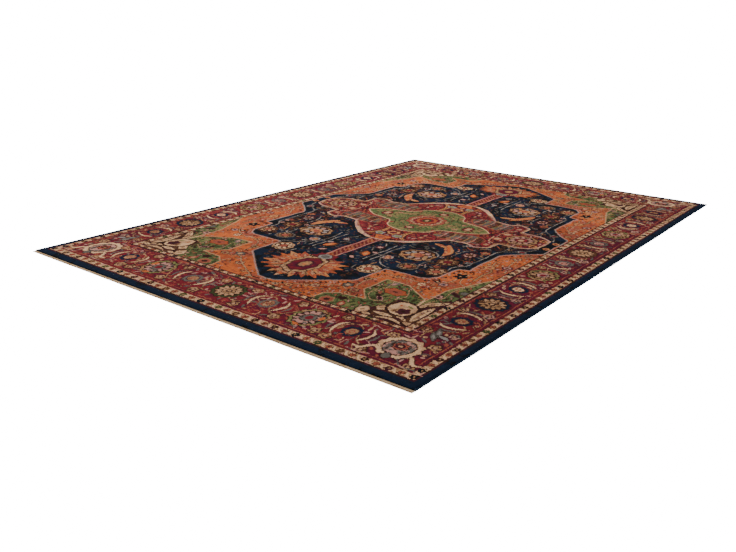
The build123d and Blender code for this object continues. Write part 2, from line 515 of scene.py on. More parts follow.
claim("pole", in_medallion & (U < pole_half) & (area == area_names.index("medallion_ground"))
      & (V < 1000))

# Two knots of one area that meet only at their corners can't be one piece of pile.
for _ in range(60):
    a, b, c, d = area[:-1, :-1], area[:-1, 1:], area[1:, :-1], area[1:, 1:]
    slant = (a == d) & (a != b) & (a != c)
    counter = (b == c) & (b != a) & (b != d)
    if not (slant.any() or counter.any()):
        break
    area[:-1, 1:][slant] = area[:-1, :-1][slant]
    a, b, c, d = area[:-1, :-1], area[:-1, 1:], area[1:, :-1], area[1:, 1:]
    counter = (b == c) & (b != a) & (b != d)
    area[:-1, :-1][counter] = area[:-1, 1:][counter]

# Yarn lots: every row is a little lighter or darker than the last, with a change of dye lot
# here and there, and every knot differs from its neighbour.
lots = np.random.default_rng(11)
lot_tone = 0.05 * np.sin(np.arange(rows) / 31) + 0.04 * np.sign(np.sin(np.arange(rows) / 47 + 1))
lot_tone = np.convolve(lot_tone + lots.normal(0, 0.02, rows), np.ones(3) / 3, "same")
tone = 1 + lot_tone[:, None] + lots.normal(0, 0.09, (rows, columns))
tone = tone + 0.24 * (cloudy(11, 12) - 0.5) + 0.16 * (cloudy(34, 13) - 0.5)

# The pile's surface: soft rises of the floor and the wool, and knots clipped by hand.
rise_x, rise_y = np.meshgrid(line_x, line_y, indexing="ij")
floor_wave, nap_wave, clip_error = 0.4 * mm, 0.3 * mm, 0.22 * mm
height = pile_top + floor_wave * np.sin(rise_x * 5.1 + 0.4) * np.cos(rise_y * 4.3)
height = height + nap_wave * np.sin(rise_x * 17 + rise_y * 11)
height = height + lots.normal(0, clip_error, rise_x.shape)
from_edge = np.minimum(
    np.minimum(rise_x - line_x[0], line_x[-1] - rise_x),
    np.minimum(rise_y - line_y[0], line_y[-1] - rise_y),
)
edge_drop, edge_reach = 2.2 * mm, 5 * mm
height = height - edge_drop * np.exp(-from_edge / edge_reach)


def bowed(x, y):
    """Where a row lies: rows bow a little as they are beaten down, but not at the ends."""
    return x + 1.2 * mm * np.sin(y * 3.1 + 0.6) * (1 - (x / pile_high.x) ** 2)


lay_x = bowed(rise_x, rise_y)

# Clipped handspun wool pile: matt, with a soft sheen where the nap turns, and yarn ends
# about 1.5 mm across that each hold a lighter and a darker side.
pile_wool, pile_shader = new_material(
    "knotted_wool_pile", 0.95, Specular_IOR_Level=0.02, Sheen_Weight=0.012, Sheen_Roughness=0.5
)
pile_shader.inputs["Sheen Tint"].default_value = linear("#f3dcc8")
dye_ramp = add_node(
    pile_wool, "ValToRGB", {},
    {"Fac": add_node(pile_wool, "Attribute", {"attribute_name": "dye"}).outputs["Fac"]},
)
dye_ramp.color_ramp.interpolation = "CONSTANT"
for k, code in enumerate(wools.values()):
    stops = dye_ramp.color_ramp.elements
    stop = stops[k] if k < 2 else stops.new(1.0)
    stop.position = k / len(wools)
    stop.color = linear(code)
knot_tone = add_node(pile_wool, "Attribute", {"attribute_name": "tone"}).outputs["Fac"]
place = add_node(pile_wool, "TexCoord").outputs["Object"]
yarn_end = 0.0015
heather = add_node(
    pile_wool, "TexNoise", {}, {"Vector": place, "Scale": 1 / yarn_end, "Detail": 2.0}
).outputs["Fac"]
heather_tone = add_node(
    pile_wool, "MapRange", {},
    {"Value": heather, "From Min": 0.3, "From Max": 0.7, "To Min": 0.86, "To Max": 1.14},
).outputs["Result"]
both_tones = add_node(
    pile_wool, "Math", {"operation": "MULTIPLY"}, {0: knot_tone, 1: heather_tone}
)
toned = add_node(
    pile_wool, "HueSaturation", {},
    {"Color": dye_ramp.outputs["Color"], "Value": both_tones.outputs[0]},
).outputs["Color"]
wire(toned, pile_shader, "Base Color")
tufts_seen = add_node(
    pile_wool, "TexVoronoi", {"feature": "F1"}, {"Vector": place, "Scale": 1 / 0.0026}
).outputs["Distance"]
fibre = add_node(
    pile_wool, "TexNoise", {}, {"Vector": place, "Scale": 1 / 0.0007, "Detail": 3.0}
).outputs["Fac"]
tuft_bump = add_node(
    pile_wool, "Bump", {"invert": True}, {"Height": tufts_seen, "Strength": 0.5, "Distance": 0.001}
)
fibre_bump = add_node(
    pile_wool, "Bump", {},
    {"Height": fibre, "Strength": 0.35, "Distance": 0.0006, "Normal": tuft_bump.outputs["Normal"]},
)
wire(fibre_bump.outputs["Normal"], pile_shader, "Normal")


def face_middles(piece):
    """The middle of each face of a piece, as rows of x, y and z."""
    middles = np.empty(len(piece.data.polygons) * 3, np.float32)
    piece.data.polygons.foreach_get("center", middles)
    return middles.reshape(-1, 3)


def tie_pile(name, knots, slot, *nodes):
    """One colour area of the pile: its knots' surface, walls down to the foundation, a back."""
    used_rows, used_columns = np.flatnonzero(knots.any(1)), np.flatnonzero(knots.any(0))
    r0, r1 = used_rows[0], used_rows[-1] + 1
    c0, c1 = used_columns[0], used_columns[-1] + 1
    high, wide = int(r1 - r0), int(c1 - c0)
    piece = start(
        bpy.ops.mesh.primitive_grid_add, x_subdivisions=high, y_subdivisions=wide, size=1
    )
    piece.name = name.replace("pile_", "knotted_")
    mesh = piece.data
    middles = face_middles(piece)
    row = np.floor((middles[:, 0] + 0.5) * high).astype(int)
    column = np.floor((middles[:, 1] + 0.5) * wide).astype(int)
    unused = ~knots[r0:r1, c0:c1][row, column]
    edit("FACE", "DESELECT")
    close_edit(False)
    mesh.polygons.foreach_set("select", unused)
    bpy.ops.object.mode_set(mode="EDIT")
    bpy.ops.mesh.delete(type="FACE")
    bpy.ops.mesh.select_mode(type="EDGE")
    bpy.ops.mesh.select_all(action="DESELECT")
    bpy.ops.mesh.select_non_manifold(
        extend=False, use_wire=False, use_boundary=True,
        use_multi_face=False, use_non_contiguous=False, use_verts=False,
    )
    bpy.ops.mesh.extrude_edges_move(TRANSFORM_OT_translate={"value": (0, 0, -1)})
    bpy.ops.mesh.fill(use_beauty=False)
    close_edit()

    places = np.empty(len(mesh.vertices) * 3, np.float32)
    mesh.vertices.foreach_get("co", places)
    places = places.reshape(-1, 3)
    i = np.rint((places[:, 0] + 0.5) * high).astype(int)
    j = np.rint((places[:, 1] + 0.5) * wide).astype(int)
    on_top = places[:, 2] > -0.5
    middles = face_middles(piece)
    row = np.clip(np.floor((middles[:, 0] + 0.5) * high).astype(int), 0, high - 1)
    column = np.clip(np.floor((middles[:, 1] + 0.5) * wide).astype(int), 0, wide - 1)
    is_top = middles[:, 2] > -0.25
    is_wall = (middles[:, 2] < -0.25) & (middles[:, 2] > -0.75)

    # The baking map: the surface is folded into strips that fill a square, with the walls in
    # small squares and the back in a small copy below them.
    start_loops = np.empty(len(mesh.polygons), np.int32)
    loop_counts = np.empty(len(mesh.polygons), np.int32)
    mesh.polygons.foreach_get("loop_start", start_loops)
    mesh.polygons.foreach_get("loop_total", loop_counts)
    loop_vertex = np.empty(len(mesh.loops), np.int32)
    mesh.loops.foreach_get("vertex_index", loop_vertex)
    face_of = np.repeat(np.arange(len(mesh.polygons)), loop_counts)
    order = np.arange(len(mesh.loops)) - start_loops[face_of]
    step_x, step_y = line_x[1] - line_x[0], line_y[1] - line_y[0]
    long_side, short_side = high * step_x, wide * step_y
    along_x = long_side >= short_side
    if not along_x:
        long_side, short_side = short_side, long_side
    folds = max(1, round(math.sqrt(long_side / short_side)))
    cells = high if along_x else wide
    per_fold = math.ceil(cells / folds)
    count = row if along_x else column
    fold = np.minimum(count // per_fold, folds - 1)[face_of]
    gap = 4 * mm
    wall_room = 0.07
    ahead = (i if along_x else j)[loop_vertex] - fold * per_fold
    aside = (j if along_x else i)[loop_vertex]
    step_a, step_b = (step_x, step_y) if along_x else (step_y, step_x)
    map_u = ahead * step_a
    map_v = aside * step_b + fold * (short_side + gap)
    surface_high = folds * (short_side + gap)
    surface_wide = per_fold * step_a
    side = max(surface_high * (1 + wall_room), surface_wide)
    walls = np.flatnonzero(is_wall)
    strip = max(side - surface_high, surface_high * wall_room)
    strip = min(strip, 0.09 * side)
    square = math.sqrt(0.6 * side * strip / max(1, len(walls)))
    per_line = max(1, int(0.65 * side / square))
    number = np.zeros(len(mesh.polygons), int)
    number[walls] = np.arange(len(walls))
    corner_u, corner_v = np.isin(order, (1, 2)) * 0.8, np.isin(order, (2, 3)) * 0.8
    wall_u = (number[face_of] % per_line + corner_u) * square
    wall_v = surface_high + (number[face_of] // per_line + 0.1 + corner_v) * square
    small = min(0.3 * side / (cells * step_a), strip * 0.9 / short_side)
    back_u = 0.68 * side + (i if along_x else j)[loop_vertex] * step_a * small
    back_v = surface_high + gap / 2 + aside * step_b * small
    top_loop, wall_loop = is_top[face_of], is_wall[face_of]
    flat = np.stack(
        [
            np.where(top_loop, map_u, np.where(wall_loop, wall_u, back_u)) / side,
            np.where(top_loop, map_v, np.where(wall_loop, wall_v, back_v)) / side,
        ],
        axis=1,
    )
    layer = mesh.uv_layers[0] if mesh.uv_layers else mesh.uv_layers.new(name="OFBake")
    layer.name = "OFBake"
    layer.data.foreach_set("uv", flat.astype(np.float32).ravel())

    places[:, 0] = lay_x[r0 + i, c0 + j]
    places[:, 1] = rise_y[r0 + i, c0 + j]
    places[:, 2] = np.where(on_top, height[r0 + i, c0 + j], pile_foot)
    mesh.vertices.foreach_set("co", places.ravel())
    for what, values in (
        ("dye", (dye[r0:r1, c0:c1][row, column] + 0.5) / len(wools)),
        ("tone", tone[r0:r1, c0:c1][row, column]),
    ):
        mesh.attributes.new(what, "FLOAT", "FACE").data.foreach_set(
            "value", values.astype(np.float32)
        )
    mesh.update()
    bpy.ops.object.shade_smooth_by_angle(angle=math.radians(55))
    mesh.materials.append(pile_wool)
    settle(piece)
    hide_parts(*nodes)
    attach(piece, "root")
    return piece


def in_area(*names):
    """The knots of the named colour areas."""
    return np.isin(area, [area_names.index(name) for name in names])


at_ends = {"near": grid_x < 0, "far": grid_x > 0}
at_sides = {"left": grid_y > 0, "right": grid_y < 0}


def tie_halves(name, knots, cuts, slot, *nodes):
    """Knots cut along the rug's middle lines into pieces, each named for its place."""
    for where, half in cuts.items():
        piece = name + "_" + where
        tie_pile(piece, knots & half, slot, *(nodes or [piece]))


def tie_band(band, slot):
    """A band's four strips: two ends of full width and two sides between them."""
    tie_halves("pile_" + band, in_area(band + "_end"), at_ends, slot)
    tie_halves("pile_" + band, in_area(band + "_side"), at_sides, slot)


# ---------------------------------------------------------------- Edge band
# A plain band of navy wool all round, four fingers wide, knotted like the rest. Its depth
# of colour changes a little from one dye lot to the next.
in_hand = in_area("edge_band_end", "edge_band_side")
tie(everywhere, in_hand, "navy")
mottle("navy", "ink", 30, 0.08, 101)
tie_band("edge_band", "wool_navy")


# ---------------------------------------------------------------- Guard borders
# Two narrow bands on sand coloured wool, one outside and one inside the main border. Each
# has a row of small dark rosettes with curved leaves between them, and a line at each edge.
guard_step = 57
for band, outer, inner in (
    ("outer_guard", (guard_end, guard_side), (border_end, border_side)),
    ("inner_guard", (inner_end, inner_side), (field_end, field_side)),
):
    in_hand = in_area(band + "_end", band + "_side")
    tie(everywhere, in_hand, "sand")
    mottle("sand", "camel", 22, 0.3, 102)
    mottle("sand", "pink", 26, 0.45, 103)
    for at_end in (True, False):
        in_hand = in_area(band + ("_end" if at_end else "_side"))
        middle = (outer[0] + inner[0]) / 2 if at_end else (outer[1] + inner[1]) / 2
        half = (outer[0] - inner[0]) / 2 if at_end else (outer[1] - inner[1]) / 2
        for k in range(34):
            dark = ("ink", "umber", "moss", "plum", "walnut")[k % 5]
            blossom = f"ivory 1 {dark} 0.84 camel 0.2"
            if k % 2:
                blossom = "ivory 1 walnut 0.8 brick 0.55 umber 0.25"
            size = (0.36 * guard_step, 0.84 * half)
            u, v = (k * guard_step, middle) if at_end else (middle, k * guard_step)
            flower(u, v, size if at_end else size[::-1], blossom, 5, 0.1)
            for step, wool in ((-7, "walnut"), (0, "ivory"), (7, "camel")):
                off = (k + 0.5) * guard_step + step
                u, v = (off, middle) if at_end else (middle, off)
                leaf(u, v, 1.6 * half, 6 if step else 15, 62 if at_end else 28, f"{wool} 1")
    in_hand = in_area(band + "_end", band + "_side")
    # a dark line of two knots at each edge, tied straight along the rows
    bound = 7
    at_end = in_area(band + "_end")
    near_edge = at_end & ((far_row > outer[0] - bound) | (far_row < inner[0] + bound))
    at_side = in_area(band + "_side")
    near_edge |= at_side & ((far_column > outer[1] - bound) | (far_column < inner[1] + bound))
    near_edge |= at_end & (far_column > outer[1] - bound)
    near_edge &= ~(at_end & (far_row < inner[0] + bound) & (far_column > inner[1] + bound))
    dye[near_edge] = wool_names.index("plum")
    mottle("plum", "umber", 24, 0.4, 105)
    waver(0.3, 104)
    tie_band(band, "wool_guard")


# ---------------------------------------------------------------- Main border
# Burgundy and madder wool with a chain of large and small rosettes, joined by thin vines and
# curved leaves. A large ivory palmette turns each corner.
in_hand = in_area("main_border_end", "main_border_side")
tie(everywhere, in_hand, "burgundy")
end_line = (border_end + inner_end) / 2
side_line = (border_side + inner_side) / 2 - 2
in_hand = in_area("main_border_end")
for v in (inner_end + 12, border_end - 12):
    line([(-30, v), (border_side - 12 if v > inner_end + 12 else inner_side + 12, v)], 5, "brick")
line([(border_side - 12, inner_end), (border_side - 12, border_end - 12)], 5, "brick")
in_hand = in_area("main_border_side")
for u in (inner_side + 12, border_side - 12):
    line([(u, -30), (u, inner_end + 12)], 5, "brick")
in_hand = in_area("main_border_end", "main_border_side")


def border_filling(chance, u, v):
    """A bud or a small leaf with a dark outline on the burgundy."""
    choice = ("camel", "brick", "pink", "scarlet", "brick", "pink", "sand", "slate")
    wool = choice[chance.integers(8)]
    turn = chance.uniform(0, 180)
    kind = chance.random()
    if kind < 0.45:
        leaf(u, v, chance.uniform(24, 46), 13, turn, f"{wool} 1")
    elif kind < 0.75:
        bend = chance.uniform(-14, 14)
        cos, sin = 20 * math.cos(math.radians(turn)), 20 * math.sin(math.radians(turn))
        line([(u - cos, v - sin), (u + bend, v + bend), (u + cos, v + sin)], 5, wool)
    else:
        flower(u, v, 9, f"{wool} 1 umber 0.4", 5)


def small_rosette(u, v, across, core, ring):
    """A small ringed flower with a curved leaf on each side of it along the border."""
    flower(u, v, (46, 52) if across else (52, 46),
           f"plum 1 {ring} 0.94 plum 0.66 {core} 0.54 brick 0.3 {core} 0.16", 8, 0.05)
    for way in (-1, 1):
        path = [(-66, 66 * way), (-30, 88 * way), (22, 84 * way), (66, 62 * way)]
        if across:
            path = [(q, p) for p, q in path]
        path = [(u + p, v + q) for p, q in path]
        sickle(path, 22, "umber 1 ivory 0.68")
        curl = [(u + q, v + p) if across else (u + p, v + q)
                for p, q in ((40, 108 * way), (0, 118 * way), (-44, 112 * way))]
        sickle(curl, 12, "slate 1")


wave = [(k * 61, end_line + (58 if k % 2 else -58) * (1 if k % 4 < 2 else -1)) for k in range(18)]
line(wave, 6, "camel")
wave = [(side_line + (44 if k % 2 else -44) * (1 if k % 4 < 2 else -1), k * 61) for k in range(25)]
line(wave, 6, "camel")
for u, v in (
    (370, 1690), (600, 1690), (665, 1700), (850, 1715), (870, 1520), (1060, 1520), (1075, 1720),
    (105, 1520), (620, 1500), (370, 1510), (130, 1700),
):
    flower(u, v, 30, "umber 1 camel 0.84 plum 0.5 sand 0.28", 5, 0.14)
for k, v in enumerate((1385, 1100, 850, 600, 350, 115)):
    for u, wool in ((side_line - 64, "camel"), (side_line + 64, "pink")):
        flower(u, v + 10 * (k % 3), 27, f"umber 1 {wool} 0.84 plum 0.5 sand 0.25", 5, 0.14)
small_rosette(245, end_line, True, "camel", "slate")
small_rosette(720, end_line, True, "camel", "navy")
for v, core, ring in ((1230, "camel", "navy"), (730, "ivory", "navy"), (230, "pink", "slate")):
    small_rosette(side_line, v, False, core, ring)
cores = "camel 0.86 umber 0.5 sand 0.3"
rosette(0, end_line, (84, 84), 12, "moss", "sand", cores)
rosette(490, end_line, (84, 102), 12, "sage", "pink", "slate 0.86 madder 0.5")
leaf(490, end_line + 82, 60, 24, 20, "umber 1 orange 0.8")
leaf(540, end_line - 20, 50, 22, 80, "orange 1")
rosette(side_line, 975, (82, 82), 12, "navy", "camel", cores)
rosette(side_line, 470, (80, 84), 11, "sage", "camel", "pink 0.86 madder 0.5")
rosette(side_line, 0, (78, 82), 12, "walnut", "sand", cores)
for v in (1400, 1360):
    leaf(side_line - 5, v + 30, 110, 30, 62, "umber 1 slate 0.85 sky 0.4")
leaf(side_line + 35, 1420, 80, 24, 20, "umber 1 sky 0.8")
# the palmette that turns the corner
flower(955, 1600, (96, 102), "umber 1 ivory 0.96", 12, 0.045)
flower(955, 1600, (69, 75), "umber 1 pink 0.9", 12, 0.03)
for across in (-48, -30, 30, 48):
    line([(955 + across, 1560), (955 + across * 0.9, 1645)], 9, "slate", False)
for across in (-39, 39):
    line([(955 + across, 1560), (955 + across * 0.9, 1645)], 6, "umber", False)
flower(955, 1590, 36, "umber 1 brick 0.85 plum 0.62 umber 0.4 camel 0.25", 8, 0.1)
leaf(955, 1690, 66, 44, 90, "umber 1 slate 0.84")
for way in (-1, 1):
    sickle([(955 + way * p, q) for p, q in ((162, 1690), (120, 1694), (96, 1655), (62, 1632))],
           24, "umber 1 ivory 0.72")
    line([(955 + way * p, q) for p, q in ((60, 1720), (110, 1732), (160, 1728))], 7, "pink")
scatter("burgundy", 1400, 3, 17, border_filling)
scatter("burgundy", 900, 4, 11, border_filling)
edge_out(["burgundy"], "plum", 0.6, 114)
mottle("burgundy", "madder", 60, 0.4, 111)
mottle("burgundy", "plum", 34, 0.12, 112)
whole_border = in_hand
# Painted sheen: at the border's near left some burgundy turns to madder and some plum outline to
# brick, so that part looks lighter, as where the nap catches the light.
in_hand = whole_border & (grid_y - grid_x > 900)
mottle("burgundy", "madder", 40, 0.4, 119)
mottle("plum", "brick", 30, 0.25, 120)
# Painted sheen: the far part of the right border gets lighter brick patches, as where the nap
# catches the light.
in_hand = whole_border & (grid_x > 500) & (grid_y < 0)
mottle("burgundy", "brick", 30, 0.22, 106)
in_hand = whole_border
for lot in (
    ("sage", "camel", 16, 0.5, 117), ("pink", "slate", 18, 0.3, 118),
    ("ivory", "sand", 30, 0.2, 115), ("camel", "sand", 24, 0.2, 116),
    ("camel", "walnut", 16, 0.22, 107),
):
    mottle(*lot)
waver(0.35, 113)
tie_band("main_border", "wool_border")


# ---------------------------------------------------------------- Open field
# Rust and orange wool round the medallion. Thin vines with small blossoms run over it, and a
# row of dark ticks follows the medallion's edge.
in_hand = in_area("open_field")
tie(everywhere, in_hand, "rust")
ticks = smooth([(p + 20, q + 17) for p, q in medallion_edge], 4)
for k, (u, v) in enumerate(ticks):
    if k % 2:
        leaf(u, v, 26, 12, 40, "umber 1")
for stalk in (
    [(600, 945), (690, 870), (715, 760)],
    [(400, 960), (500, 945), (600, 945)],
    [(60, 1405), (150, 1350), (250, 1290), (330, 1220), (400, 1240)],
    [(400, 1180), (385, 1100), (420, 1000), (500, 945)],
    [(720, 620), (745, 520), (725, 430), (760, 360), (800, 300)],
    [(800, 860), (740, 820), (720, 700)],
    [(790, 320), (800, 420), (820, 480)],
):
    line(stalk, 9, "umber")
    line(stalk, 5, "sand")
line([(782, 760), (774, 660), (780, 590), (745, 540)], 15, "umber")
line([(782, 760), (774, 660), (780, 590), (745, 540)], 9, "camel")
flower(745, 540, 32, "umber 1 apricot 0.85 brick 0.4", 6, 0.15)
flower(703, 750, (30, 34), "ink 1 umber 0.4 sand 0.2", 5, 0.25)
flower(820, 490, 28, "plum 1 pink 0.7 walnut 0.4", 6)
for u, v, size, petal, heart in (
    (470, 955, 22, "apricot", "navy"), (250, 1300, 26, "sand", "madder"),
    (380, 1060, 24, "camel", "umber"), (620, 960, 24, "ivory", "brick"),
    (790, 330, 24, "sand", "madder"), (360, 1190, 30, "slate", "sand"),
    (700, 900, 26, "pink", "navy"), (150, 1370, 22, "apricot", "madder"),
    (430, 1230, 26, "camel", "madder"), (655, 880, 16, "ink", "ivory"),
    (810, 240, 22, "camel", "madder"), (90, 1400, 18, "sand", "navy"),
):
    flower(u, v, size, f"umber 1 {petal} 0.78 {heart} 0.4", 6, 0.16)


def field_filling(chance, u, v):
    """A leaf, bud or fleck with a dark edge on the rust ground."""
    choice = ("pink", "sand", "camel", "pink", "madder", "sand", "slate", "brick")
    wool = choice[chance.integers(8)]
    turn = chance.uniform(20, 160)
    kind = chance.random()
    if kind < 0.55:
        leaf(u, v, chance.uniform(24, 42), 14, turn, f"walnut 1 {wool} 0.76")
    elif kind < 0.72:
        leaf(u, v, chance.uniform(20, 34), 9, turn, "umber 1")
    else:
        flower(u, v, 10, f"umber 1 {wool} 0.75", 5)


whole_field = in_hand
in_hand = whole_field & (cloudy(95, 126) > 0.55)
scatter("rust", 1300, 6, 15, field_filling)
scatter("rust", 1000, 7, 11, field_filling)
in_hand = whole_field
scatter("rust", 500, 8, 9, lambda chance, u, v: leaf(
    u, v, 22, 9, chance.uniform(40, 140), ("walnut 1", "pink 1", "camel 1")[chance.integers(3)]))
edge_out(["rust"], "walnut", 0.16, 125)
for lot in (
    ("rust", "orange", 110, 0.5, 121), ("rust", "brick", 42, 0.34, 122),
    ("orange", "rust", 22, 0.25, 123),
):
    mottle(*lot)
# Painted sheen: the far end of the field gets lighter apricot patches, as where the nap catches
# the light.
in_hand = whole_field & (grid_x > 700)
mottle("orange", "apricot", 40, 0.3, 127)
in_hand = whole_field
waver(0.35, 124)
tie_pile("pile_open_field", in_hand, "wool_rust", "pile_open_field")


# ---------------------------------------------------------------- Corner pieces
# A green quarter medallion in each corner of the field, edged with ivory, and a head of
# ivory lobes outlined in dark brown that sits in the very corner.
in_hand = in_area("corner")
tie(everywhere, in_hand, "sage")
flower(585, 1125, (64, 42), "walnut 1 rust 0.9 brick 0.6 umber 0.2", 6, 0.1)
flower(402, 1392, 56, "moss 1 green 0.9 camel 0.66 brick 0.55 umber 0.25", 6, 0.08)
leaf(487, 1392, 76, 40, 70, "umber 1 brick 0.85 sand 0.4")
flower(450, 1335, (26, 20), "umber 1", 5, 0.2)
leaf(580, 1232, 76, 36, 40, "moss 1 pink 0.85 plum 0.6")
leaf(552, 1208, 44, 24, 30, "umber 1")
leaf(520, 1050, 80, 34, 120, "slate 1 pink 0.6")
flower(772, 1052, 28, "umber 1 pink 0.75 umber 0.4", 6)
leaf(820, 980, 90, 30, 35, "plum 1 umber 0.6")
flower(845, 940, 30, "moss 1 slate 0.6", 6)
for vein in (
    [(500, 1020), (520, 1100), (500, 1200), (560, 1270), (640, 1230)],
    [(620, 1060), (660, 1140), (640, 1200), (700, 1180)],
    [(770, 1160), (800, 1050), (790, 930), (830, 800)],
):
    line(vein, 8, "moss")
    line(vein, 4, "sand")


leaves_only = (("moss", "walnut", "pink", "brick", "umber", "brick"), (22, 44), 13, (30, 150),
               "moss 1 {} 0.7")
scatter("sage", 500, 9, 13, filling(*leaves_only))
scatter("sage", 300, 10, 9, filling(*leaves_only))
edge_out(["sage"], "moss", 0.3, 138)
for lot in (
    ("sage", "green", 70, 0.5, 131), ("sage", "brick", 22, 0.12, 132),
    ("green", "walnut", 22, 0.1, 139), ("green", "moss", 24, 0.22, 133),
):
    mottle(*lot)
patch([(572, 1450), (572, 1372), (620, 1325), (650, 1290), (652, 1190), (765, 1188),
       (790, 1140), (835, 1068), (880, 1060), (880, 1450)], "walnut")
mottle("walnut", "umber", 22, 0.4, 134)
mottle("walnut", "plum", 26, 0.3, 135)
for u, v, wide, tall in (
    (598, 1385, 26, 42), (652, 1318, 24, 26), (700, 1374, 44, 14), (640, 1412, 22, 12),
    (845, 1395, 22, 13),
):
    flower(u, v, (wide + 6, tall + 6), "umber 1", 4, 0.1)
    flower(u, v, (wide, tall), "ivory 1 camel 0.35", 4, 0.1)
for path, width in (
    ([(838, 1362), (828, 1285), (836, 1185)], 52), ([(776, 1212), (802, 1150), (856, 1088)], 46),
    ([(690, 1418), (760, 1398), (826, 1418)], 24), ([(748, 1352), (790, 1362), (822, 1380)], 22),
):
    sickle(path, width, "umber 1 ivory 0.8 camel 0.28")
for u, v in ((838, 1315), (826, 1262), (834, 1222), (806, 1150), (836, 1112)):
    flower(u, v, 9, "umber 1 pink 0.5", 4, 0.2)
great_lobe = [
    (665, 1280), (672, 1305), (695, 1325), (715, 1342), (745, 1348), (775, 1342), (792, 1312),
    (796, 1270), (785, 1235), (755, 1210), (715, 1200), (685, 1206), (672, 1240),
]
line(great_lobe + great_lobe[:1], 22, "umber")
patch(great_lobe, "ivory")
mottle("ivory", "sand", 30, 0.3, 136)
flower(750, 1298, (32, 36), "walnut 1 plum 0.9 umber 0.3", 5, 0.12)
flower(712, 1308, (14, 22), "camel 1 walnut 0.5", 5, 0.1)
leaf(705, 1242, 34, 12, 65, "rust 1")
leaf(752, 1240, 40, 16, 30, "sage 1")
line([(802, 1370), (801, 1260), (798, 1170)], 8, "umber")
line([(760, 1196), (752, 1150), (745, 1112)], 12, "ivory")
line(corner_edge[1:-1], 14, "sand", False)
waver(0.25, 137)
tie_halves(
    "pile_corner", in_hand,
    {f"{end}_{hand}": at_ends[end] & at_sides[hand] for end in at_ends for hand in at_sides},
    "wool_green",
)


# ---------------------------------------------------------------- Medallion ground
# The great medallion is navy wool with an ivory and pink edge. Vines, curved leaves and
# rosettes fill it inside a plain margin.
in_hand = in_area("medallion_ground")
tie(everywhere, in_hand, "navy")
for vine in (
    [(172, 840), (168, 720), (176, 640), (170, 545)],
    [(205, 830), (206, 720), (200, 640), (215, 540)],
    [(215, 740), (250, 800), (300, 850), (360, 872)],
    [(447, 745), (447, 600), (440, 545), (405, 512), (330, 498)],
    [(500, 510), (496, 450), (505, 390), (540, 340)],
    [(645, 560), (646, 420), (648, 300), (660, 262), (660, 165)],
    [(560, 830), (610, 760), (600, 660), (640, 600), (645, 560)],
    [(660, 262), (720, 210), (770, 150), (790, 90)],
    [(110, 690), (90, 640), (130, 600), (100, 545)],
    [(200, 940), (215, 990), (262, 1000)],
):
    line(vine, 11, "umber")
    line(vine, 7, "sky")
rosette(350, 605, (104, 92), 9, "camel", "pink", "apricot 0.86 brick 0.5", 20)
leaf(405, 620, 100, 34, 70, "umber 1 sand 0.8")
leaf(300, 640, 70, 26, 130, "umber 1 apricot 0.8")
sickle([(385, 352), (410, 400), (446, 455), (456, 520)], 58, "umber 1 apricot 0.88 orange 0.3")
sickle([(310, 372), (350, 380), (392, 398)], 40, "umber 1 apricot 0.8")
flower(250, 735, 34, "umber 1 pink 0.88 umber 0.6 apricot 0.5", 6, 0.08)
rosette(420, 790, (60, 56), 8, "slate", "camel", "brick 0.8")
rosette(575, 765, (56, 62), 8, "walnut", "sand", "brick 0.8", 15)
rosette(535, 600, (58, 60), 8, "walnut", "camel", "madder 0.8")
rosette(560, 430, (44, 50), 7, "plum", "pink", "walnut 0.8")
flower(610, 350, 30, "umber 1 brick 0.85 camel 0.5", 6, 0.16)
flower(745, 200, 28, "umber 1 sky 0.85 madder 0.5", 6, 0.16)
flower(118, 625, 28, "umber 1 plum 0.85 pink 0.55", 6, 0.16)
leaf(112, 757, 96, 64, 65, "umber 1 walnut 0.88")
leaf(122, 762, 84, 38, 65, "orange 1 apricot 0.4")
leaf(150, 720, 50, 26, 10, "umber 1 pink 0.8")
rosette(288, 945, (62, 66), 8, "sand", "ivory", "brick 0.8", 10)
leaf(100, 850, 60, 26, 40, "umber 1 pink 0.8")
for (turn, reach), (next_turn, next_reach) in zip(flames, flames[1:]):
    tip = 0.44 * (reach + next_reach)
    way = math.radians((turn + next_turn) / 2)
    middle = (tip + 120) / 2
    leaf(middle * math.cos(way), pendant_middle + middle * math.sin(way), tip - 120, 24,
         math.degrees(way), "umber 1 rust 0.8 apricot 0.3")
flower(822, 60, 24, "umber 1 apricot 0.8 madder 0.4", 6)


whole_ground = in_hand
edge_path = to_middle(medallion_edge)[:-2]
margin = np.array(in_hand)
for (u0, v0), (u1, v1) in zip(edge_path, edge_path[1:]):
    block = window_of([(u0, v0), (u1, v1)], 90)
    run = math.hypot(u1 - u0, v1 - v0)
    t = np.clip(((U[block] - u0) * (u1 - u0) + (V[block] - v0) * (v1 - v0)) / run**2, 0, 1)
    away = np.hypot(U[block] - u0 - t * (u1 - u0), V[block] - v0 - t * (v1 - v0))
    margin[block] = margin[block] & (away > 52)
in_hand = margin & ((U > 235) | (V > 870)) & ((V < 900) | (U > 230))
leaves_and_buds = (
    ("camel", "brick", "walnut", "plum", "slate", "pink", "walnut", "sky", "plum"),
    (30, 62), 14, (0, 180), "umber 1 {} 0.75", 0.6, 15, "umber 1 {} 0.8 ink 0.4",
)
scatter("navy", 600, 21, 22, filling(*leaves_and_buds))
in_hand = in_hand & (U > 440)
scatter("navy", 800, 22, 12, filling(*leaves_and_buds))
in_hand = margin
scatter("navy", 300, 31, 12, lambda chance, u, v: leaf(
    u, v, 26, 9, chance.uniform(0, 180), ("walnut 1", "plum 1", "slate 1")[chance.integers(3)]))
in_hand = whole_ground
for lot in (
    ("navy", "ink", 34, 0.55, 141), ("sky", "slate", 20, 0.5, 144),
    ("camel", "walnut", 16, 0.3, 145), ("apricot", "brick", 18, 0.3, 146),
    ("sand", "camel", 18, 0.4, 147),
):
    mottle(*lot)
line(edge_path, 20, "slate", False)
line(edge_path, 14, "pink", False)
mottle("pink", "sky", 30, 0.4, 142)
waver(0.3, 143)
tie_halves("pile_medallion_ground", in_hand, at_sides, "wool_navy", "pile_medallion_ground")


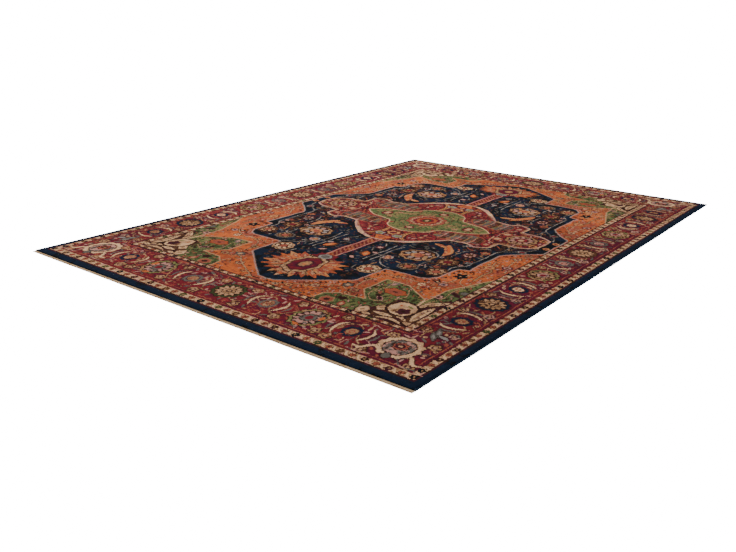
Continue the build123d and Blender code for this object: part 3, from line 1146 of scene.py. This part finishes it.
# ---------------------------------------------------------------- Inner medallion
# Madder red wool in the shape of two hearts and two wings, edged with ivory, with a grey
# cloud of striped feathers on each shoulder.
in_hand = in_area("inner_medallion")
tie(everywhere, in_hand, "madder")
cloud = [(190, 215), (215, 262), (300, 262), (400, 262), (478, 232), (492, 150), (430, 95),
         (330, 112), (250, 130)]
patch(cloud, "slate")
mottle("slate", "walnut", 26, 0.45, 153)
mottle("slate", "brick", 20, 0.3, 160)
for k in range(15):
    u = 200 + 19 * k
    low = 125 if k < 9 else 112
    wool = ("camel", "slate", "pink", "plum", "umber")[k % 5]
    line([(u, low), (u + 8, 190), (u + 4, 250)], 7, wool)
mottle("camel", "sage", 26, 0.4, 156)
line(cloud + cloud[:1], 8, "brick")
flower(178, 325, (88, 92), "umber 1 scarlet 0.94 madder 0.86", 6, 0.03)
for k in range(7):
    way = math.radians(k * 51 + 12)
    leaf(178 + 48 * math.cos(way), 325 + 48 * math.sin(way), 52, 20, k * 51 + 12,
         "plum 1 " + ("brick 0.8", "scarlet 0.8", "pink 0.8")[k % 3])
flower(178, 325, 22, "umber 1 brick 0.8 sand 0.4", 5, 0.1)
sickle([(85, 250), (72, 330), (95, 400), (140, 440)], 34, "umber 1 apricot 0.8 walnut 0.35")
flower(8, 455, (46, 40), "umber 1 orange 0.9 brick 0.4", 3, 0.2, 90)
flower(62, 392, (34, 30), "umber 1 sky 0.85 sage 0.5", 5, 0.15)
flower(0, 345, (44, 40), "umber 1 apricot 0.85 madder 0.5", 6, 0.16)
leaf(150, 445, 80, 26, 150, "umber 1 scarlet 0.8")
rosette(640, 0, (96, 92), 10, "camel", "pink", "madder 0.86 sand 0.4")
flower(520, 60, 36, "umber 1 brick 0.85 sand 0.5", 6, 0.16)
flower(525, 200, (30, 34), "umber 1 scarlet 0.85 pink 0.5", 6, 0.16)
flower(745, 62, 26, "umber 1 apricot 0.85 madder 0.5", 6, 0.16)
line([(60, 500), (150, 440), (230, 360), (300, 285)], 6, "camel")
line([(560, 235), (560, 150), (600, 120), (700, 118)], 6, "camel")
line([(480, 30), (500, 120), (540, 150)], 7, "sand")


line(to_middle(heart_edge)[:-2], 30, "pink", False)
mottle("pink", "camel", 20, 0.4, 154)
line(to_middle(heart_edge)[:-2], 14, "ivory", False)
sickle([(50, 500), (120, 482), (186, 432), (246, 360)], 46, "pink 1 ivory 0.85")
mottle("ivory", "pink", 24, 0.35, 159)
leaves_and_buds = (("brick", "rust", "plum", "pink", "umber", "scarlet"), (24, 46), 14, (30, 150),
                   "umber 1 {} 0.75", 0.65, 11, "umber 1 {} 0.75")
scatter("madder", 700, 31, 15, filling(*leaves_and_buds))
scatter("madder", 500, 32, 10, filling(*leaves_and_buds))
edge_out(["madder"], "plum", 0.6, 157)
for lot in (
    ("madder", "scarlet", 50, 0.35, 151), ("madder", "plum", 30, 0.15, 152),
    ("ivory", "sand", 26, 0.4, 158),
):
    mottle(*lot)
waver(0.4, 155)
tie_pile("pile_inner_medallion", in_hand, "wool_red", "pile_inner_medallion")


# ---------------------------------------------------------------- Centre star
# A pointed cross of green wool with an ivory edge, and a ringed rosette at the very middle.
in_hand = in_area("centre_star")
tie(everywhere, in_hand, "sage")
flower(0, 10, 116, "walnut 1 brick 0.95 sand 0.8 madder 0.72 rust 0.52 madder 0.36 moss 0.22 "
       "sand 0.1", 10, 0.06)
for k in range(12):
    way = math.radians(k * 30)
    leaf(84 * math.cos(way), 10 + 84 * math.sin(way), 34, 16, k * 30, "umber 1 sand 0.7")
flower(0, 190, (32, 30), "umber 1 madder 0.85 sand 0.5", 6, 0.16)
flower(290, 12, (34, 30), "umber 1 madder 0.85 sand 0.5", 6, 0.16)
leaf(150, 160, 60, 26, 60, "umber 1 brick 0.8")
flower(232, 60, 20, "umber 1 sand 0.8 brick 0.4", 6, 0.16)
line([(290, 50), (230, 70), (170, 90), (140, 130), (110, 190)], 7, "moss")
line([(350, 20), (390, 15)], 8, "moss")
line(to_middle(star_edge)[:-2], 18, "sand", False)
line(to_middle(star_edge)[:-2], 9, "ivory", False)


scatter("sage", 240, 41, 12, filling(
    ("moss", "walnut", "camel", "moss"), (18, 34), 11, (0, 180), "{} 1"))
edge_out(["sage"], "moss", 0.25, 164)
mottle("sage", "green", 60, 0.5, 161)
mottle("sage", "camel", 30, 0.2, 162)
waver(0.35, 163)
tie_pile("pile_centre_star", in_hand, "wool_green", "pile_centre_star")


# ---------------------------------------------------------------- Pendants and poles
# A flame palmette of rust and apricot wool at each end of the medallion, carried on a narrow
# red pole with a dotted middle.
in_hand = in_area("pendant")
tie(everywhere, in_hand, "umber")
for k, (turn, reach) in enumerate(flames):
    way = math.radians(turn)
    middle = (reach + 70) / 2
    u, v = middle * math.cos(way), pendant_middle + middle * math.sin(way)
    wool = ("orange", "apricot", "rust")[k % 3]
    leaf(u, v, reach - 66, 40, turn, f"{wool} 1 brick 0.5 sand 0.25")
    half_turn = math.radians(turn - 9)
    leaf(135 * math.cos(half_turn), pendant_middle + 150 * math.sin(half_turn), 80, 20, turn - 9,
         ("sand 1", "scarlet 1", "camel 1")[k % 3])
    leaf(150 * math.cos(half_turn), pendant_middle + 165 * math.sin(half_turn), 90, 9, turn - 9,
         "umber 1")
flower(0, 1302, (32, 30), "umber 1 orange 0.9 sand 0.4", 5, 0.15)
flower(0, 1098, (98, 142), "umber 1 sand 0.94 camel 0.84 umber 0.76 burgundy 0.7 plum 0.42 "
       "camel 0.3 apricot 0.15", 8, 0.05)
for k in range(16):
    way = math.radians(k * 22.5 + 11)
    leaf(87 * math.cos(way), 1098 + 127 * math.sin(way), 24, 8, k * 22.5 + 11, "umber 1")
patch([(-30, 985), (60, 965), (130, 955), (75, 905), (-30, 890)], "madder")
flower(0, 945, (44, 40), "umber 1 sky 0.88 slate 0.6", 6, 0.08)
for lot in (
    ("orange", "rust", 20, 0.4, 171), ("apricot", "orange", 20, 0.4, 172),
    ("rust", "brick", 20, 0.3, 175), ("burgundy", "madder", 26, 0.4, 176),
):
    mottle(*lot)
waver(0.4, 173)
tie_halves("pile_pendant", in_hand, at_ends, "wool_rust")
in_hand = in_area("pole")
tie(everywhere, in_hand, "madder")
mottle("madder", "rust", 30, 0.22, 174)
line([(30, 500), (30, 920)], 6, "pink")
for k in range(24):
    v = 512 + 17 * k
    for u in (2, 15):
        flower(u, v, 5, ("camel 1", "umber 1")[(k + (u > 10)) % 2], 4, 0)
tie_halves("pile_pole", in_hand, at_ends, "wool_red")


# ---------------------------------------------------------------- Selvedges
# A bundle of cotton warps runs down each long side, and thick navy wool is wrapped over it
# and over the pile's edge, one turn beside the next. Only the wrapping shows.
def read_places(piece):
    """A piece's vertices, as rows of x, y and z."""
    places = np.empty(len(piece.data.vertices) * 3, np.float32)
    piece.data.vertices.foreach_get("co", places)
    return places.reshape(-1, 3)


def write_places(piece, places):
    """Moves a piece's vertices, and leaves it smooth."""
    piece.data.vertices.foreach_set("co", places.astype(np.float32).ravel())
    piece.data.update()
    bpy.ops.object.shade_smooth()


def finish_modifiers(piece):
    """Applies every modifier of a piece, in order."""
    for modifier in list(piece.modifiers):
        bpy.ops.object.modifier_apply(modifier=modifier.name)


def yarn_material(name, dark, light, thread, stretch, rough=0.95):
    """Matt yarn in two mixed shades, with threads of one width that run along an axis."""
    material, shader = new_material(name, rough, Specular_IOR_Level=0.03)
    spot = add_node(material, "TexCoord").outputs["Object"]
    drawn = add_node(material, "Mapping", {}, {"Vector": spot, "Scale": stretch}).outputs["Vector"]
    strands = add_node(
        material, "TexNoise", {}, {"Vector": drawn, "Scale": 1 / thread, "Detail": 2.0}
    ).outputs["Fac"]
    lot = add_node(material, "TexNoise", {}, {"Vector": spot, "Scale": 22.0}).outputs["Fac"]
    both = add_node(material, "Math", {"operation": "ADD"}, {0: strands, 1: lot})
    shades = add_node(material, "ValToRGB", {}, {"Fac": both.outputs[0]})
    shades.color_ramp.elements[0].position = 0.8
    shades.color_ramp.elements[0].color = linear(dark)
    shades.color_ramp.elements[1].position = 1.2
    shades.color_ramp.elements[1].color = linear(light)
    wire(shades.outputs["Color"], shader, "Base Color")
    relief = add_node(
        material, "Bump", {}, {"Height": strands, "Strength": 0.6, "Distance": thread / 2}
    )
    wire(relief.outputs["Normal"], shader, "Normal")
    return material


def keep(piece, material, slot, *nodes):
    """Gives an edge piece its yarn, hides the CAD nodes it stands for, and hangs it under the
    root.
    """
    piece.data.materials.append(material)
    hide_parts(*nodes)
    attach(piece, "root")


# Thick two-ply wool in deep indigo: matt, almost black in the grooves between the turns.
navy_yarn = yarn_material("overcast_navy_wool", "#0b121d", "#1c2a3c", 0.0014, (1, 0.3, 0.3))
# Plied cotton warps, cream, never seen on a sound edge.
warp_cotton = yarn_material("cotton_warp_bundle", "#a89a82", "#cabda4", 0.001, (0.1, 1, 1))
wrap_pitch = 0.0042
wrap_slant = math.radians(9)
yarn_radius = 0.0027
wrap_sides, yarn_sides = 12, 5
for hand, way in (("left", 1), ("right", -1)):
    low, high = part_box(f"selvedge_wrap_{hand}")
    deep, tall = high.y - low.y, high.z - low.z
    wraps = start(
        bpy.ops.mesh.primitive_torus_add, major_segments=wrap_sides, minor_segments=yarn_sides,
        major_radius=deep / 2 - yarn_radius, minor_radius=yarn_radius,
    )
    wraps.name = f"overcast_wraps_{hand}"
    wraps.scale = (tall / deep, 1, 1)
    wraps.rotation_euler = (0, math.pi / 2, way * wrap_slant)
    wraps.location = (low.x + wrap_pitch / 2, (low.y + high.y) / 2, (low.z + high.z) / 2)
    settle(wraps)
    row = wraps.modifiers.new("row", "ARRAY")
    row.count = int((high.x - low.x) / wrap_pitch)
    row.use_relative_offset = False
    row.use_constant_offset = True
    row.constant_offset_displace = (wrap_pitch, 0, 0)
    finish_modifiers(wraps)
    places = read_places(wraps)
    turn = np.arange(len(places)) // (wrap_sides * yarn_sides)
    pulled = np.random.default_rng(51 + way).normal(0, 0.00022, (turn[-1] + 1, 3))
    places += np.abs(pulled)[turn] * np.array([0.4, -1.2 * way, 0.5])
    places[:, 1] -= way * 0.0005 * (1 + np.sin(places[:, 0] * 6.3))
    write_places(wraps, places)
    keep(wraps, navy_yarn, "wool_selvedge", f"selvedge_wrap_{hand}")
    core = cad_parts[f"selvedge_core_{hand}"]
    for slot in core.material_slots:
        slot.material = warp_cotton


# ---------------------------------------------------------------- Kilim ends and hems
# Past the last row of knots the warps are woven flat for a finger's width, held by a twined
# cord, and rolled under and oversewn to a thin hem.
# Unbleached wool weft beaten tight over cotton warps: pale tan, ribbed, matt.
kilim_yarn = yarn_material("flatwoven_tan_weft", "#a5835f", "#cfb08a", 0.0022, (1, 0.35, 1))
# Two plies of walnut brown wool twisted hard, a dark line between the tan bands.
cord_yarn = yarn_material("twined_walnut_wool", "#3c2417", "#6a4732", 0.0012, (1, 0.4, 1))
# The same weave rolled and oversewn: tan mixed all over with a darker reddish brown, partly the
# wool's own colour and partly painted shade for the roll's underside where it meets the floor.
hem_wool_and_painted_shade = yarn_material("oversewn_hem_wool_and_painted_shade", "#7d5a42", "#b8946f", 0.0024, (1, 0.5, 1))


def sweep_along(piece, length, steps, turn=0.0, rounds=1):
    """Carries a piece's ring along the width of the rug, and closes both ends."""
    screw = piece.modifiers.new("sweep", "SCREW")
    screw.axis = "Y"
    screw.angle = turn
    screw.screw_offset = length / rounds
    screw.iterations = rounds
    screw.steps = screw.render_steps = steps
    screw.use_merge_vertices = False
    finish_modifiers(piece)
    edit()
    bpy.ops.mesh.remove_doubles(threshold=0.00001)
    bpy.ops.mesh.fill_holes(sides=0)
    close_edit()


corner_reach = 0.006
wefts, warp_pairs = 8, 604
for end, way in (("near", -1), ("far", 1)):
    low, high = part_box(f"kilim_end_{end}")
    span = high.y - low.y + 2 * corner_reach
    kilim = start(
        bpy.ops.mesh.primitive_grid_add, x_subdivisions=wefts, y_subdivisions=warp_pairs, size=1,
        location=((low.x + high.x) / 2, 0, 0),
    )
    kilim.name = f"flatwoven_end_{end}"
    kilim.scale = (high.x - low.x, span, 1)
    settle(kilim)
    places = read_places(kilim)
    inner_x = high.x if way < 0 else low.x
    out = np.abs(places[:, 0] - inner_x) / (high.x - low.x)
    pair = np.rint(out * wefts) + np.rint((places[:, 1] / span + 0.5) * warp_pairs)
    # each weft passes over one pair of warps and under the next
    places[:, 2] = 0.00145 + 0.00035 * np.cos(math.pi * pair) - 0.0003 * out
    places[:, 0] += way * 0.0006 * np.sin(places[:, 1] * 11) * out
    write_places(kilim, places)
    thick = kilim.modifiers.new("thick", "SOLIDIFY")
    thick.thickness = 0.0012
    thick.offset = -0.2
    finish_modifiers(kilim)
    keep(kilim, kilim_yarn, "cotton_kilim", f"kilim_end_{end}")

    low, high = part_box(f"twining_cord_{end}")
    ply = (high.x - low.x) * 0.3
    pitch = 0.008
    cord = start(
        bpy.ops.mesh.primitive_circle_add, vertices=6, radius=ply, rotation=(math.pi / 2, 0, 0),
        location=(ply * 0.72, 0, 0),
    )
    cord.name = f"twined_cord_{end}"
    settle(cord)
    edit()
    bpy.ops.mesh.duplicate_move(TRANSFORM_OT_translate={"value": (-ply * 1.44, 0, 0)})
    close_edit(False)
    sweep_along(cord, span, 7, 2 * math.pi, round(span / pitch))
    places = read_places(cord)
    places[:, 1] -= (places[:, 1].max() + places[:, 1].min()) / 2
    places[:, 0] += (low.x + high.x) / 2 + 0.0005 * np.sin(places[:, 1] * 11)
    places[:, 2] += (low.z + high.z) / 2 + 0.0001
    write_places(cord, places)
    keep(cord, cord_yarn, "wool_twining", f"twining_cord_{end}")

    low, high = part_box(f"hem_roll_{end}")
    hem = start(
        bpy.ops.mesh.primitive_circle_add, vertices=12, radius=1, rotation=(math.pi / 2, 0, 0)
    )
    hem.name = f"rolled_hem_{end}"
    settle(hem)
    sweep_along(hem, span, 805)
    places = read_places(hem)
    places[:, 1] -= (places[:, 1].max() + places[:, 1].min()) / 2
    round_turn = np.arctan2(places[:, 2], places[:, 0])
    stitch = 2 * math.pi * places[:, 1] / 0.009 + round_turn
    swell = 0.9 + 0.1 * np.abs(np.sin(stitch / 2)) - 0.04 * (1 + np.sin(places[:, 1] * 13))
    places[:, 0] = (low.x + high.x) / 2 + places[:, 0] * swell * (high.x - low.x) / 2
    places[:, 0] += 0.0006 * np.sin(places[:, 1] * 11)
    places[:, 2] = high.z / 2 + places[:, 2] * swell * high.z / 2
    write_places(hem, places)
    keep(hem, hem_wool_and_painted_shade, "cotton_hem", f"hem_roll_{end}")


# ---------------------------------------------------------------- Warp ends at the corners
# Where the end weaving stops short of the selvedge, a few cotton warps stick out and fray.
# Loose white cotton: off-white, hairy, grey where it has touched a floor.
loose_cotton = yarn_material("frayed_cotton_warps", "#a8a198", "#dcd8cf", 0.0006, (0.3, 1, 1))
strand_count = 13
for end, way in (("near", -1), ("far", 1)):
    low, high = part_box(f"warp_tufts_{end}")
    chance = np.random.default_rng(61 + way)
    strands = []
    root_x = high.x if way < 0 else low.x
    reach = high.x - low.x
    for side in (-1, 1):
        for k in range(strand_count):
            strand = start(
                bpy.ops.mesh.primitive_cone_add, vertices=5, radius1=0.0007, radius2=0.0002,
                depth=reach, location=(reach / 2, 0, 0), rotation=(0, math.pi / 2, 0),
            )
            settle(strand)
            edit()
            bpy.ops.mesh.subdivide(number_cuts=3)
            close_edit(False)
            along = read_places(strand)
            share = along[:, 0] / reach
            along[:, 1] += chance.normal(0, 0.0022) * share + chance.normal(0, 0.0012) * share**2
            along[:, 2] += 0.0022 - 0.0014 * share**1.5 * chance.uniform(0.4, 1)
            along[:, 0] = root_x - way * 0.001 + way * along[:, 0] * chance.uniform(0.6, 1)
            along[:, 1] += side * (high.y - 0.0076 * (k + 0.5) / strand_count)
            write_places(strand, along)
            strands.append(strand)
    for strand in strands:
        strand.select_set(True)
    bpy.ops.object.join()
    tuft = bpy.context.object
    tuft.name = f"frayed_warps_{end}"
    edit()
    close_edit()
    keep(tuft, loose_cotton, "cotton_warp_ends", f"warp_tufts_{end}")


# ---------------------------------------------------------------- Foundation
# One sheet of cotton warps and wefts that every knot is tied round. The knots' backs show on
# its underside, so the design is there too, softer, with weft between the rows.
along_count, across_count = 370, 258
off_floor = 0.3 * mm
weave_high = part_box("foundation_weave")[1]
foundation = start(
    bpy.ops.mesh.primitive_grid_add, x_subdivisions=along_count, y_subdivisions=across_count,
    size=1, location=(0, 0, off_floor),
)
foundation.name = "woven_foundation"
foundation.scale = (weave_high.x - pile_low.x, weave_high.y - pile_low.y, 1)
settle(foundation)
edit()
bpy.ops.mesh.region_to_loop()
bpy.ops.mesh.extrude_edges_move(TRANSFORM_OT_translate={"value": (0, 0, weave_high.z - off_floor)})
bpy.ops.mesh.fill(use_beauty=False)
close_edit()
places = read_places(foundation)
share_x = (places[:, 0] - pile_low.x) / (weave_high.x - pile_low.x)
share_y = (places[:, 1] - pile_low.y) / (weave_high.y - pile_low.y)
i = np.rint(share_x * along_count).astype(int)
j = np.rint(share_y * across_count).astype(int)
first_row = np.rint((np.arange(along_count + 1) - 0.5) * rows / along_count).clip(0).astype(int)
first_column = np.rint((np.arange(across_count + 1) - 0.5) * columns / across_count)
first_column = first_column.clip(0).astype(int)
backs = np.array([linear(code) for code in wools.values()])[dye] * tone[:, :, None]
backs = np.add.reduceat(np.add.reduceat(backs, first_row, axis=0), first_column, axis=1)
knots_each = np.outer(np.diff(first_row, append=rows), np.diff(first_column, append=columns))
backs = backs / knots_each[:, :, None]
foundation.data.attributes.new("knot_back", "FLOAT_COLOR", "POINT").data.foreach_set(
    "color", backs[i, j].astype(np.float32).ravel()
)
underneath = places[:, 2] < weave_high.z / 2
under_wave = 0.2 * mm * np.sin(places[:, 0] * 29) * np.cos(places[:, 1] * 23)
places[:, 2] += np.where(underneath, under_wave, 0)
places[:, 0] = bowed(places[:, 0], places[:, 1])
write_places(foundation, places)
bpy.ops.object.shade_smooth_by_angle(angle=math.radians(30))

# Knot backs: the same wools, flat and tight, in rows parted by a thin tan weft.
back_wool, back_shader = new_material("knot_backs_and_weft", 0.95, Specular_IOR_Level=0.03)
wool_seen = add_node(back_wool, "Attribute", {"attribute_name": "knot_back"}).outputs["Color"]
knot_backs = add_node(
    back_wool, "TexBrick", {"offset": 0.5},
    {"Vector": add_node(back_wool, "TexCoord").outputs["Object"], "Scale": 1.0,
     "Color1": wool_seen, "Color2": wool_seen, "Mortar": linear("#6f5c48"),
     "Brick Width": 0.0035, "Row Height": 0.004, "Mortar Size": 0.0004, "Mortar Smooth": 0.3},
)
wire(knot_backs.outputs["Color"], back_shader, "Base Color")
rib_relief = add_node(
    back_wool, "Bump", {"invert": True},
    {"Height": knot_backs.outputs["Fac"], "Strength": 0.6, "Distance": 0.0005},
)
wire(rib_relief.outputs["Normal"], back_shader, "Normal")
foundation.data.materials.append(back_wool)
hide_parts("foundation_weave")
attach(foundation, "root")
